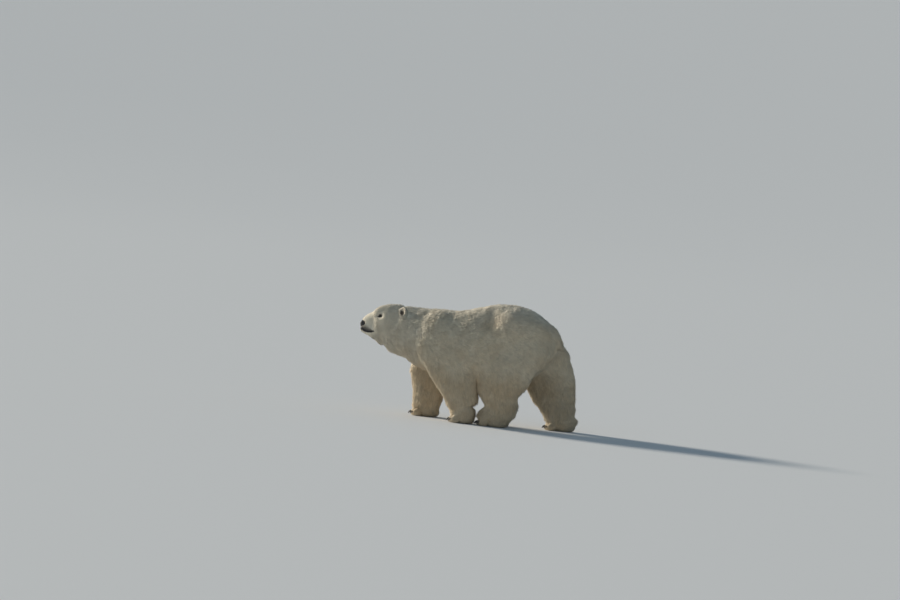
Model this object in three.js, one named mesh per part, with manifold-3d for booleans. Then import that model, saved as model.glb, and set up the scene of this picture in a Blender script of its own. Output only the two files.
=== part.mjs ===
// A life-size polar bear, walking with its head raised: a still museum model.
//
// Millimetres, +Z up. The bear faces -Y, its left side is +X, and its soles lie in the plane Z = 0.
// The solids give the animal's outline out to the tips of its coat. The flesh is one smooth body:
// sweeps, limbs and lumps melt into each other, and thin cuts then part it into head, neck, trunk,
// legs and paws. Eyes, ears, nose, tail and claws are bodies of their own, inset with a thin gap.

import * as THREE from "three";
import { mergeVertices } from "three/addons/utils/BufferGeometryUtils.js";
import Module from "manifold-3d";

const wasm = await Module();
wasm.setup();

// ------------------------------------------------------------------ driving dimensions

const GAP = 0.6; // width of every thin cut, and of the clearance round an inset piece

// Mesh size of each region, and how softly its forms melt into each other.
const TRUNK_CELL = 100;
const LEG_CELL = 80;
const PAW_CELL = 54;
const HEAD_CELL = 38;
const EAR_CELL = 18;
const TAIL_CELL = 33;
const LIMB_BLEND = 80;
const LEG_TO_LEG_BLEND = 14;
const NECK_BLEND = 45;
const JAW_BLEND = 24;
const CHEEK_BLEND = 60;
const HEEL_BLEND = 40;
const SPLINE_STEPS = 5;
const CAP = 0.6; // how far a rounded end reaches, as a share of its smaller half width

// Where the flesh is parted.
const HEAD_CUT = { at: [0, -700, 900], slope: 27 }; // slope in degrees from upright
const NECK_CUT = { at: [0, -450, 850], slope: 14 };
const PAW_TOP = 116;
const PAW_REACH = 160; // half the width of the block that holds a paw
const MARGIN = 66; // how far the grid of a leg or paw reaches past its cuts
const FORELEG_TOP = 545;
const HINDLEG_TOP = 575;
const LEG_INNER = { fore: 88, hind: 70 }; // a leg begins this far from the middle plane
const LEG_MEETING = 174; // fore and hind legs of the left side touch in this plane
const LEG_REACH = { across: 420, front: -720, back: 1260 }; // how far out the cuts round a leg go

// Sweeps in the middle plane: [y, z, half width, half depth]. Half depth is square to the sweep.
const SPINE = [
  [750, 884, 198, 222], // rump
  [640, 862, 252, 318],
  [500, 850, 292, 384], // hips
  [340, 834, 312, 397],
  [170, 810, 322, 382], // loin
  [0, 788, 318, 357], // belly
  [-150, 781, 304, 336],
  [-300, 795, 284, 324], // withers
  [-420, 810, 262, 307],
  [-520, 830, 240, 280], // base of the neck
  [-620, 849, 212, 256],
  [-720, 858, 186, 246],
  [-800, 876, 158, 226],
  [-870, 876, 130, 204],
  [-930, 866, 100, 168], // throat
];
const SKULL = [
  [-762, 998, 122, 120], // occiput
  [-850, 984, 130, 130], // crown
  [-925, 962, 106, 120], // brow
  [-990, 938, 80, 96], // stop
  [-1050, 908, 67, 88], // bridge of the muzzle
  [-1098, 880, 54, 70],
  [-1119, 868, 41, 50], // tip of the muzzle
];
const JAW = [
  [-930, 828, 98, 130],
  [-1020, 835, 76, 87],
  [-1085, 833, 57, 57],
  [-1130, 834, 42, 37], // chin
];
const TAIL = [
  [820, 985, 50, 42],
  [880, 936, 52, 46],
  [924, 888, 46, 40],
  [950, 846, 28, 26],
];

// Legs from the top down: [x, y, z, half width, half depth], both level, across and along the bear.
const LEGS = {
  foreleg_left: [
    [150, -320, 960, 110, 150], // shoulder blade
    [190, -300, 800, 120, 210],
    [206, -212, 640, 120, 256], // upper arm
    [210, -96, 480, 116, 260], // elbow
    [208, -35, 340, 110, 215], // forearm
    [203, 4, 240, 106, 176],
    [201, -10, 200, 103, 144],
    [199, 22, 145, 100, 138], // wrist
    [196, 38, 95, 98, 130],
  ],
  foreleg_right: [
    [-150, -320, 960, 110, 150],
    [-190, -370, 790, 120, 210],
    [-206, -405, 620, 120, 215],
    [-210, -428, 470, 116, 211],
    [-207, -425, 340, 110, 184],
    [-202, -423, 230, 106, 166],
    [-198, -432, 150, 102, 150],
    [-196, -436, 95, 98, 138],
  ],
  hindleg_left: [
    [110, 540, 980, 160, 225], // hip
    [170, 560, 820, 152, 290],
    [200, 500, 690, 145, 330], // thigh
    [216, 430, 560, 132, 305],
    [222, 414, 440, 122, 266], // knee
    [214, 384, 340, 110, 216], // shank
    [206, 417, 240, 104, 181],
    [203, 416, 195, 100, 176],
    [201, 392, 140, 98, 192], // hock
    [200, 362, 95, 98, 184],
  ],
  hindleg_right: [
    [-110, 560, 980, 160, 225],
    [-165, 672, 830, 155, 300],
    [-200, 740, 700, 146, 290],
    [-214, 790, 560, 130, 285],
    [-216, 833, 430, 116, 260],
    [-208, 880, 300, 106, 226],
    [-201, 934, 190, 100, 180],
    [-198, 962, 120, 96, 163],
    [-198, 966, 90, 94, 148],
  ],
};

// Paws: middle of the sole, half width, length, turn of the toes (degrees) and rise of the heel.
const PAWS = {
  forepaw_left: { leg: "foreleg_left", x: 196, y: 27, half: 112, length: 274, turn: -4, heel: 0 },
  forepaw_right: { leg: "foreleg_right", x: -196, y: -440, half: 112, length: 300, turn: 4, heel: 0 },
  hindpaw_left: { leg: "hindleg_left", x: 200, y: 354, half: 104, length: 342, turn: -4, heel: 60 },
  hindpaw_right: { leg: "hindleg_right", x: -198, y: 970, half: 104, length: 320, turn: 4, heel: 50 },
};
const PAD = { rise: 48, thick: 66, wide: 0.86, long: 0.4, back: 0.1 }; // shares of the paw's size
const HEEL = { rise: 58, thick: 62, wide: 0.7, long: 86, back: 0.27 };
const TOES = 5;
const TOE_HEIGHT = 34;
const TOE_LENGTH = 52;
const TOE_SPREAD = 0.76; // the outer toes sit at this share of the paw's half width
const TOE_ARC = { back: 38, power: 1.6, skew: 6 }; // the outer toes sit farther back
const TOE_WIDTH = 0.26;

// Lumps that fill out the form: one behind the hips, under the tail, and pairs given for the left side.
const RUMP = { at: [0, 780, 900], radii: [130, 138, 172] };
const HAUNCH = { at: [128, 520, 985], radii: [180, 290, 190], pitch: -8 };
const SHOULDER = { at: [122, -300, 850], radii: [168, 190, 215] };
const BELLY = { at: [90, 20, 650], radii: [224, 330, 215] };
const CHEEK = { at: [70, -858, 915], radii: [52, 140, 96], yaw: -18 };
const BROW = { at: [46, -952, 1032], radii: [40, 48, 30], pitch: 24 };

const EYE = { at: [81, -928, 984], radius: 15 };
const SOCKET = { at: [101, -938, 984], radii: [28, 26, 20] };
const NOSE = { at: [0, -1112, 888], radii: [46, 45, 39], pitch: 16 };
const EAR = { at: [120, -694, 1042], radii: [54, 27, 62], pitch: -6, yaw: 46, roll: 14 };
const EAR_HOLLOW = { forward: 25, radii: [38, 25, 47] };
const EAR_REACH = 84;

const CLAW_LENGTH = 44;
const CLAW_RADIUS = 10;
const CLAW_TAPER = 0.82;
const CLAW_SIDES = 4;
const CLAW_STEPS = 3;
const BALL_SIDES = 8;
const TOE_SIDES = 6;

const COAT = { color: 0xe9dfc6, roughness: 0.9, metalness: 0 };
const DARK_SKIN = { color: 0x17130f, roughness: 0.55, metalness: 0 };
const EYE_GLASS = { color: 0x1a0f08, roughness: 0.12, metalness: 0 };
const HORN = { color: 0x2a2019, roughness: 0.45, metalness: 0 };

// ------------------------------------------------------------------ forms
// A form is a function of (x, y, z) that gives, about, the distance to its surface, negative inside.

/** Catmull-Rom curve through rows of numbers, as a longer list of rows. */
function smoothRows(rows) {
  const last = rows.length - 1;
  const before = rows[0].map((v, i) => 2 * v - rows[1][i]);
  const after = rows[last].map((v, i) => 2 * v - rows[last - 1][i]);
  const knots = [before, ...rows, after];
  const out = [];
  for (let i = 1; i <= last; i++) {
    for (let step = 0; step < SPLINE_STEPS; step++) {
      const t = step / SPLINE_STEPS;
      out.push(rows[0].map((_, c) => catmullRom(t, ...[-1, 0, 1, 2].map((k) => knots[i + k][c]))));
    }
  }
  out.push(rows[last]);
  return out;
}

function catmullRom(t, a, b, c, d) {
  const linear = (c - a) * t;
  const square = (2 * a - 5 * b + 4 * c - d) * t * t;
  const cube = (3 * b - a - 3 * c + d) * t * t * t;
  return b + 0.5 * (linear + square + cube);
}

/** Distance to an ellipsoid of half sizes a, b, c, for a point given in its own axes. */
function ellipsoidDistance(x, y, z, a, b, c) {
  const near = Math.hypot(x / a, y / b, z / c) + 1e-9;
  const slope = Math.hypot(x / (a * a), y / (b * b), z / (c * c)) + 1e-12;
  return (near * (near - 1)) / slope;
}

/** A chain of elliptical lengths in the middle plane, with rounded ends. */
function sweep(stations) {
  const rows = smoothRows(stations);
  const links = rows.slice(1).map((end, i) => {
    const start = rows[i];
    const run = Math.hypot(end[0] - start[0], end[1] - start[1]);
    return { start, end, run, cy: (end[0] - start[0]) / run, cz: (end[1] - start[1]) / run };
  });
  return (x, y, z) => {
    let nearest = Infinity;
    for (const { start, end, run, cy, cz } of links) {
      const dy = y - start[0];
      const dz = z - start[1];
      const along = dy * cy + dz * cz;
      const t = THREE.MathUtils.clamp(along / run, 0, 1);
      const width = THREE.MathUtils.lerp(start[2], end[2], t);
      const depth = THREE.MathUtils.lerp(start[3], end[3], t);
      const past = along - t * run;
      const cap = CAP * Math.min(width, depth);
      nearest = Math.min(nearest, ellipsoidDistance(x, dz * cy - dy * cz, past, width, depth, cap));
    }
    return nearest;
  };
}

/** A leg: level elliptical sections, one for each height, with rounded ends. */
function limb(stations) {
  const rows = smoothRows(stations);
  return (x, y, z) => {
    let i = 1;
    while (i < rows.length - 1 && z < rows[i][2]) i++;
    const [upper, lower] = [rows[i - 1], rows[i]];
    const t = THREE.MathUtils.clamp((upper[2] - z) / (upper[2] - lower[2]), 0, 1);
    const [cx, cy, cz, width, depth] = upper.map((v, c) => THREE.MathUtils.lerp(v, lower[c], t));
    return ellipsoidDistance(x - cx, y - cy, z - cz, width, depth, CAP * width);
  };
}

/** An ellipsoid; pitch turns it about X, yaw about Z, and roll about Y, in degrees. */
function lump({ at, radii, pitch = 0, yaw = 0, roll = 0 }) {
  const [rx, ry, rz] = [pitch, roll, yaw].map(THREE.MathUtils.degToRad);
  const turn = new THREE.Matrix4().makeRotationFromEuler(new THREE.Euler(rx, ry, rz, "ZXY"));
  const e = turn.invert().elements;
  return (x, y, z) => {
    const [dx, dy, dz] = [x - at[0], y - at[1], z - at[2]];
    return ellipsoidDistance(
      e[0] * dx + e[4] * dy + e[8] * dz,
      e[1] * dx + e[5] * dy + e[9] * dz,
      e[2] * dx + e[6] * dy + e[10] * dz,
      ...radii,
    );
  };
}

const mirrored = ({ at, yaw = 0, roll = 0, ...rest }) => ({
  ...rest,
  at: [-at[0], at[1], at[2]],
  yaw: -yaw,
  roll: -roll,
});

/** Two distances joined, with their crease filled over about the given width. */
function melt(a, b, width) {
  const h = Math.max(width - Math.abs(a - b), 0) / width;
  return Math.min(a, b) - (h * h * width) / 4;
}

/** One form of many, all melted into the first. */
function melted(forms, width) {
  return (x, y, z) => forms.reduce((sum, form) => melt(sum, form(x, y, z), width), Infinity);
}

const pair = (shape) => [lump(shape), lump(mirrored(shape))];

/** Where toe number i of a paw sits, in the paw's own axes (toes towards -Y). */
function toePlace(paw, i) {
  const side = (2 * i) / (TOES - 1) - 1;
  const back = Math.abs(side) ** TOE_ARC.power * TOE_ARC.back + side * Math.sign(paw.x) * TOE_ARC.skew;
  return { x: side * paw.half * TOE_SPREAD, y: TOE_LENGTH - paw.length / 2 + back };
}

/** The pad and heel of a paw, without its toes. */
function padForm(paw) {
  const { half, length, heel } = paw;
  const middle = [0, length * PAD.back, PAD.rise];
  const soft = [lump({ at: middle, radii: [half * PAD.wide, length * PAD.long, PAD.thick] })];
  if (heel > 0) {
    const at = [0, length * HEEL.back, HEEL.rise + heel];
    soft.push(lump({ at, radii: [half * HEEL.wide, HEEL.long, HEEL.thick] }));
  }
  const pad = melted(soft, HEEL_BLEND);
  const turn = THREE.MathUtils.degToRad(paw.turn);
  const [c, s] = [Math.cos(turn), Math.sin(turn)];
  return (x, y, z) => {
    const [dx, dy] = [x - paw.x, y - paw.y];
    return pad(dx * c + dy * s, dy * c - dx * s, z);
  };
}

function toeSolid(paw, i) {
  const { x, y } = toePlace(paw, i);
  const place = new THREE.Vector3(x, y, TOE_HEIGHT);
  place.applyAxisAngle(new THREE.Vector3(0, 0, 1), THREE.MathUtils.degToRad(paw.turn));
  const at = [place.x + paw.x, place.y + paw.y, place.z];
  const radii = [paw.half * TOE_WIDTH, TOE_LENGTH, TOE_HEIGHT * 1.4];
  return ball({ at, radii, yaw: paw.turn }, TOE_SIDES);
}

function trunkForm() {
  return melted([sweep(SPINE), lump(RUMP), ...[HAUNCH, SHOULDER, BELLY].flatMap(pair)], LIMB_BLEND);
}

function headForm() {
  const bone = melted([sweep(SKULL), sweep(JAW)], JAW_BLEND);
  const soft = melted([...pair(CHEEK), ...pair(BROW)], JAW_BLEND);
  return (x, y, z) => melt(bone(x, y, z), soft(x, y, z), CHEEK_BLEND);
}

const trunkPart = trunkForm();
const headPart = headForm();
const legForm = (paw) => melted([limb(LEGS[paw.leg]), padForm(paw)], HEEL_BLEND);
const legParts = new Map(Object.entries(PAWS).map(([name, paw]) => [name, legForm(paw)]));

/** The flesh with some of its legs. Each leg melts into the trunk, and hardly at all into a leg. */
function fleshWith(names) {
  const legs = names.map((name) => legParts.get(name));
  return (x, y, z) => {
    const core = trunkPart(x, y, z);
    let body = core;
    for (const leg of legs) {
      body = melt(body, melt(core, leg(x, y, z), LIMB_BLEND), LEG_TO_LEG_BLEND);
    }
    return melt(body, headPart(x, y, z), NECK_BLEND);
  };
}

// ------------------------------------------------------------------ from a form to a solid

/** The unit slope of a form at a point, and how steep it is. */
function slopeAt(form, [x, y, z]) {
  const d = 1;
  const g = new THREE.Vector3(
    form(x + d, y, z) - form(x - d, y, z),
    form(x, y + d, z) - form(x, y - d, z),
    form(x, y, z + d) - form(x, y, z - d),
  ).divideScalar(2 * d);
  return { steep: Math.max(g.length(), 0.2), unit: g.normalize() };
}

/** Moves a point along the slope until it lies on the form's surface. */
function settle(form, point, limit) {
  let p = [...point];
  for (let pass = 0; pass < 4; pass++) {
    const { steep, unit } = slopeAt(form, p);
    const move = THREE.MathUtils.clamp(form(...p) / steep, -limit, limit);
    p = [p[0] - unit.x * move, p[1] - unit.y * move, p[2] - unit.z * move];
  }
  return p;
}

/**
 * A closed solid of the part of a form inside a box, by surface nets: one vertex in each cell that
 * the surface crosses, and one quad round each grid edge that it crosses. Beyond the box is outside.
 */
function solidOf(form, [low, high], cell) {
  const count = low.map((v, i) => Math.ceil((high[i] - v) / cell) + 1);
  const place = (i, j, k) => [low[0] + i * cell, low[1] + j * cell, low[2] + k * cell];
  const key = (i, j, k) => (i * count[1] + j) * count[2] + k;
  const value = new Float64Array(count[0] * count[1] * count[2]);
  eachCell(count, (i, j, k) => {
    const edge = [i, j, k].some((v, axis) => v === 0 || v === count[axis] - 1);
    value[key(i, j, k)] = edge ? cell : form(...place(i, j, k));
  });

  const vertexOf = new Map();
  const vertices = [];
  eachCell(count.map((n) => n - 1), (i, j, k) => {
    const crossing = edgeCrossings(value, key, i, j, k);
    if (!crossing) return;
    const start = place(i + crossing[0], j + crossing[1], k + crossing[2]);
    vertexOf.set(key(i, j, k), vertices.length / 3);
    vertices.push(...settle(form, start, cell * 0.35));
  });

  const triangles = [];
  eachCell(count.map((n) => n - 1), (i, j, k) => {
    for (let axis = 0; axis < 3; axis++) {
      const next = [i, j, k];
      next[axis]++;
      const inside = value[key(i, j, k)] < 0;
      if (inside === value[key(...next)] < 0) continue;
      const ring = cellsRoundEdge([i, j, k], axis).map((c) => vertexOf.get(key(...c)));
      if (!inside) ring.reverse();
      triangles.push(ring[0], ring[1], ring[2], ring[0], ring[2], ring[3]);
    }
  });
  return new wasm.Manifold(
    new wasm.Mesh({
      numProp: 3,
      vertProperties: new Float32Array(vertices),
      triVerts: new Uint32Array(triangles),
    }),
  );
}

function eachCell([ni, nj, nk], visit) {
  for (let i = 0; i < ni; i++) {
    for (let j = 0; j < nj; j++) {
      for (let k = 0; k < nk; k++) visit(i, j, k);
    }
  }
}

/** The mean place, in cells, where the surface crosses the twelve edges of a cell. */
function edgeCrossings(value, key, i, j, k) {
  const sum = [0, 0, 0];
  let found = 0;
  for (let axis = 0; axis < 3; axis++) {
    for (let corner = 0; corner < 4; corner++) {
      const from = [0, 0, 0];
      from[(axis + 1) % 3] = corner & 1;
      from[(axis + 2) % 3] = corner >> 1;
      const to = [...from];
      to[axis] = 1;
      const a = value[key(i + from[0], j + from[1], k + from[2])];
      const b = value[key(i + to[0], j + to[1], k + to[2])];
      if (a < 0 === b < 0) continue;
      from[axis] = a / (a - b);
      from.forEach((v, c) => (sum[c] += v));
      found++;
    }
  }
  return found > 0 && sum.map((v) => v / found);
}

/** The four cells round a grid edge, in the order that faces along the edge. */
function cellsRoundEdge(corner, axis) {
  const [u, v] = [(axis + 1) % 3, (axis + 2) % 3];
  return [[1, 1], [0, 1], [0, 0], [1, 0]].map(([du, dv]) => {
    const c = [...corner];
    c[u] -= du;
    c[v] -= dv;
    return c;
  });
}

/** A closed three.js geometry as a solid. */
function solidFrom(geometry) {
  const bare = new THREE.BufferGeometry();
  bare.setAttribute("position", geometry.getAttribute("position").clone());
  if (geometry.index) bare.setIndex(geometry.index.clone());
  const merged = mergeVertices(bare, 1e-3);
  return new wasm.Manifold(
    new wasm.Mesh({
      numProp: 3,
      vertProperties: new Float32Array(merged.getAttribute("position").array),
      triVerts: new Uint32Array(merged.index.array),
    }),
  );
}

/** A box-shaped region, given as [from, to] along each axis. */
function block([x0, x1], [y0, y1], [z0, z1]) {
  const box = new THREE.BoxGeometry(x1 - x0, y1 - y0, z1 - z0);
  return solidFrom(box.translate((x0 + x1) / 2, (y0 + y1) / 2, (z0 + z1) / 2));
}

/** All that lies behind a cut, that is, towards +Y of it, or in front of it. */
function sideOf(cut, behind) {
  const size = 6000;
  const shift = (size / 2 + GAP / 2) * (behind ? 1 : -1);
  const box = new THREE.BoxGeometry(size, size, size).translate(0, shift, 0);
  box.rotateX(-THREE.MathUtils.degToRad(cut.slope)).translate(...cut.at);
  return solidFrom(box);
}

/** A low-polygon ellipsoid. */
function ball({ at, radii, pitch = 0, yaw = 0, roll = 0 }, sides = BALL_SIDES) {
  const shape = new THREE.SphereGeometry(1, sides, Math.ceil(sides / 2));
  shape.scale(...radii);
  const [rx, ry, rz] = [pitch, roll, yaw].map(THREE.MathUtils.degToRad);
  shape.applyMatrix4(new THREE.Matrix4().makeRotationFromEuler(new THREE.Euler(rx, ry, rz, "ZXY")));
  return solidFrom(shape.translate(...at));
}

/** The same solid with each vertex moved outwards, to cut a socket that clears it. */
function grown(solid, by = GAP) {
  const geometry = geometryOf(solid);
  const place = geometry.getAttribute("position");
  const normal = geometry.getAttribute("normal");
  for (let i = 0; i < place.count; i++) {
    place.setXYZ(
      i,
      place.getX(i) + by * normal.getX(i),
      place.getY(i) + by * normal.getY(i),
      place.getZ(i) + by * normal.getZ(i),
    );
  }
  return solidFrom(geometry);
}

function geometryOf(solid) {
  const { vertProperties, triVerts } = solid.getMesh();
  const geometry = new THREE.BufferGeometry();
  geometry.setAttribute("position", new THREE.BufferAttribute(new Float32Array(vertProperties), 3));
  geometry.setIndex(new THREE.BufferAttribute(new Uint32Array(triVerts), 1));
  geometry.computeVertexNormals();
  return geometry;
}

function meshOf(name, solid, look) {
  const mesh = new THREE.Mesh(geometryOf(solid), new THREE.MeshStandardMaterial(look));
  mesh.name = name;
  return mesh;
}

// ------------------------------------------------------------------ the small separate bodies

/** An ear: a round, thick-edged cup that opens forward and a little outward. */
function earForm(shape) {
  const cup = lump(shape);
  const out = Math.sign(shape.at[0]);
  const turn = THREE.MathUtils.degToRad(shape.yaw);
  const at = [
    shape.at[0] + out * 4 + Math.sin(turn) * EAR_HOLLOW.forward,
    shape.at[1] - Math.cos(turn) * EAR_HOLLOW.forward,
    shape.at[2] + 4,
  ];
  const hollow = lump({ ...shape, at, radii: EAR_HOLLOW.radii });
  return (x, y, z) => Math.max(cup(x, y, z), -hollow(x, y, z));
}

/** A claw: a tapering hook that leaves its toe forward and bends down. */
function clawSolid(paw, i) {
  const toe = toePlace(paw, i);
  const root = new THREE.Vector3(toe.x, toe.y - TOE_LENGTH + 16, TOE_HEIGHT + 4);
  const curve = new THREE.QuadraticBezierCurve3(
    root,
    new THREE.Vector3(root.x, root.y - CLAW_LENGTH * 0.62, root.z + 1),
    new THREE.Vector3(root.x, root.y - CLAW_LENGTH * 0.9, root.z - CLAW_LENGTH * 0.52),
  );
  const points = [];
  for (let s = 0; s <= CLAW_STEPS; s++) {
    const t = s / CLAW_STEPS;
    const centre = curve.getPoint(t);
    const along = curve.getTangent(t);
    const up = new THREE.Vector3(0, along.z, -along.y);
    const radius = CLAW_RADIUS * (1 - CLAW_TAPER * t ** 1.4);
    for (let a = 0; a < CLAW_SIDES; a++) {
      const angle = (2 * Math.PI * a) / CLAW_SIDES;
      const side = new THREE.Vector3(Math.cos(angle) * radius * 0.8, 0, 0);
      points.push(centre.clone().add(side).addScaledVector(up, Math.sin(angle) * radius));
    }
  }
  const first = points.length;
  points.push(curve.getPoint(0));
  points.push(curve.getPoint(1).addScaledVector(curve.getTangent(1), 2));
  const triangles = [];
  for (let a = 0; a < CLAW_SIDES; a++) {
    const b = (a + 1) % CLAW_SIDES;
    triangles.push(first, b, a);
    for (let s = 0; s < CLAW_STEPS; s++) {
      const [p, q] = [s * CLAW_SIDES + a, s * CLAW_SIDES + b];
      triangles.push(p, q, q + CLAW_SIDES, p, q + CLAW_SIDES, p + CLAW_SIDES);
    }
    triangles.push(CLAW_STEPS * CLAW_SIDES + a, CLAW_STEPS * CLAW_SIDES + b, first + 1);
  }
  const geometry = new THREE.BufferGeometry().setFromPoints(points);
  geometry.setIndex(triangles);
  geometry.rotateZ(THREE.MathUtils.degToRad(paw.turn)).translate(paw.x, paw.y, 0);
  return solidFrom(geometry);
}

// ------------------------------------------------------------------ the bear

const bear = new THREE.Group();
const flesh = fleshWith([...legParts.keys()]);
const add = (name, solid, look) => bear.add(meshOf(name, solid, look));

/** The region of one leg: [from, to] across and along, widened by a margin. */
function legRegion(paw, margin) {
  const fore = paw.leg.startsWith("fore");
  const inner = fore ? LEG_INNER.fore : LEG_INNER.hind;
  const across = [inner - margin, LEG_REACH.across + margin].map((v) => v * Math.sign(paw.x));
  const along = fore
    ? [LEG_REACH.front - margin, LEG_MEETING - GAP / 2 + margin]
    : [LEG_MEETING + GAP / 2 - margin, LEG_REACH.back + margin];
  return [across.sort((a, b) => a - b), along];
}

/** A paw: its pad, heel and toes, cut level at the sole and under the leg, and clear of its claws. */
function pawSolid(name, paw, claws) {
  const reach = paw.length / 2 + MARGIN;
  const box = [
    [paw.x - PAW_REACH, paw.y - reach, -MARGIN],
    [paw.x + PAW_REACH, paw.y + reach, PAW_TOP + MARGIN],
  ];
  let solid = solidOf(legParts.get(name), box, PAW_CELL);
  for (let i = 0; i < TOES; i++) solid = solid.add(toeSolid(paw, i));
  const [, along] = legRegion(paw, 0);
  solid = solid.intersect(block([paw.x - PAW_REACH, paw.x + PAW_REACH], along, [0, PAW_TOP - GAP]));
  return claws.reduce((rest, claw) => rest.subtract(grown(claw)), solid);
}

// Legs and paws. Each leg is the flesh inside a block, and the trunk keeps clear of that block.
const legBlocks = [];
for (const [name, paw] of Object.entries(PAWS)) {
  const top = paw.leg.startsWith("fore") ? FORELEG_TOP : HINDLEG_TOP;
  legBlocks.push(block(...legRegion(paw, GAP), [-100, top + GAP]));

  const [across, along] = legRegion(paw, MARGIN);
  const around = [[across[0], along[0], -90], [across[1], along[1], top + 90]];
  const leg = solidOf(fleshWith([name]), around, LEG_CELL);
  add(paw.leg, leg.intersect(block(...legRegion(paw, 0), [PAW_TOP, top])), COAT);

  const claws = Array.from({ length: TOES }, (_, i) => clawSolid(paw, i));
  claws.forEach((claw, i) => add(`${name}_claw_${i + 1}`, claw, HORN));
  add(name, pawSolid(name, paw, claws), COAT);
}

// Tail, set into the rump.
const tail = solidOf(sweep(TAIL), [[-80, 780, 780], [80, 1010, 1050]], TAIL_CELL);
add("tail", tail, COAT);

// Trunk and neck.
const torso = solidOf(flesh, [[-440, -640, 330], [440, 1290, 1330]], TRUNK_CELL);
const clearOfLegs = (solid) => legBlocks.reduce((rest, legBlock) => rest.subtract(legBlock), solid);
add("trunk", clearOfLegs(torso.intersect(sideOf(NECK_CUT, true)).subtract(grown(tail))), COAT);

const throat = solidOf(flesh, [[-330, -1010, 480], [330, -300, 1220]], LEG_CELL);
const neck = throat.intersect(sideOf(NECK_CUT, false)).intersect(sideOf(HEAD_CUT, true));
add("neck", clearOfLegs(neck), COAT);

// Head, with the eyes, ears and nose set into it.
let head = solidOf(flesh, [[-260, -1210, 560], [260, -540, 1200]], HEAD_CELL);
head = head.intersect(sideOf(HEAD_CUT, false));
for (const [side, mirror] of [["left", (s) => s], ["right", mirrored]]) {
  const socket = mirror(SOCKET);
  const eye = mirror({ at: EYE.at, radii: Array(3).fill(EYE.radius) });
  head = head.subtract(ball(socket)).subtract(grown(ball(eye)));
  add(`eye_${side}`, ball(eye), EYE_GLASS);

  const ear = mirror(EAR);
  const box = [ear.at.map((v) => v - EAR_REACH), ear.at.map((v) => v + EAR_REACH)];
  const earSolid = solidOf(earForm(ear), box, EAR_CELL);
  head = head.subtract(grown(earSolid));
  add(`ear_${side}`, earSolid, COAT);
}
head = head.subtract(grown(ball(NOSE)));
add("nose", ball(NOSE), DARK_SKIN);
add("head", head, COAT);

export default bear;
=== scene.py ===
"""A life-size polar bear, walking with its head raised: skin, coat, eyes, nose, claws, floor, lights.

The body is the same form as the CAD solids, in millimetres: sweeps, limbs and lumps that melt into
each other. The skin lies inside it by the depth of the coat, and the tufts reach out to it.
The bear faces -Y, its left side is +X, and its soles lie in the plane Z = 0.
"""

import math

import bpy
import numpy as np
from mathutils import Matrix, Vector
from mathutils.bvhtree import BVHTree
from mathutils.kdtree import KDTree


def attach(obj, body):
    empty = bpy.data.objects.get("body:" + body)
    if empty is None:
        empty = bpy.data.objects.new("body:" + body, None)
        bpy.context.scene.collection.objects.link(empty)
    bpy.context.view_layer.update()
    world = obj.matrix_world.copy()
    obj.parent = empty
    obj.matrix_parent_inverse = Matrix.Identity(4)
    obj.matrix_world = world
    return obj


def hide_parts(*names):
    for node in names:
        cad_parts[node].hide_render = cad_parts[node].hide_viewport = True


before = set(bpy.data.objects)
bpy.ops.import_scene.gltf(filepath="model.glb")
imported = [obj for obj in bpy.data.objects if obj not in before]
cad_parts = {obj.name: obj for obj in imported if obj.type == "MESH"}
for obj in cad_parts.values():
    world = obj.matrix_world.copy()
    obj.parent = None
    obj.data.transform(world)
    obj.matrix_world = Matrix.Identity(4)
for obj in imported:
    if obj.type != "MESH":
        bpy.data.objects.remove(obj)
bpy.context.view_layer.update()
MM = 0.001

# ---- the form's tables, in mm

# Sweeps in the middle plane: [y, z, half width, half depth].
SPINE = [
    [750, 884, 198, 222],
    [640, 862, 252, 318],
    [500, 850, 292, 384],
    [340, 834, 312, 397],
    [170, 810, 322, 382],
    [0, 788, 318, 357],
    [-150, 781, 304, 336],
    [-300, 795, 284, 324],
    [-420, 810, 262, 307],
    [-520, 830, 240, 280],
    [-620, 849, 212, 256],
    [-720, 858, 186, 246],
    [-800, 876, 158, 226],
    [-870, 876, 130, 204],
    [-930, 866, 100, 168],
]
SKULL = [
    [-762, 998, 122, 120],
    [-850, 984, 130, 130],
    [-925, 962, 106, 120],
    [-990, 938, 80, 96],
    [-1050, 908, 67, 88],
    [-1098, 880, 54, 70],
    [-1119, 868, 41, 50],
]
JAW = [
    [-930, 828, 98, 130],
    [-1020, 835, 76, 87],
    [-1085, 833, 57, 57],
    [-1130, 834, 42, 37],
]
TAIL = [
    [820, 985, 50, 42],
    [880, 936, 52, 46],
    [924, 888, 46, 40],
    [950, 846, 28, 26],
]
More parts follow.
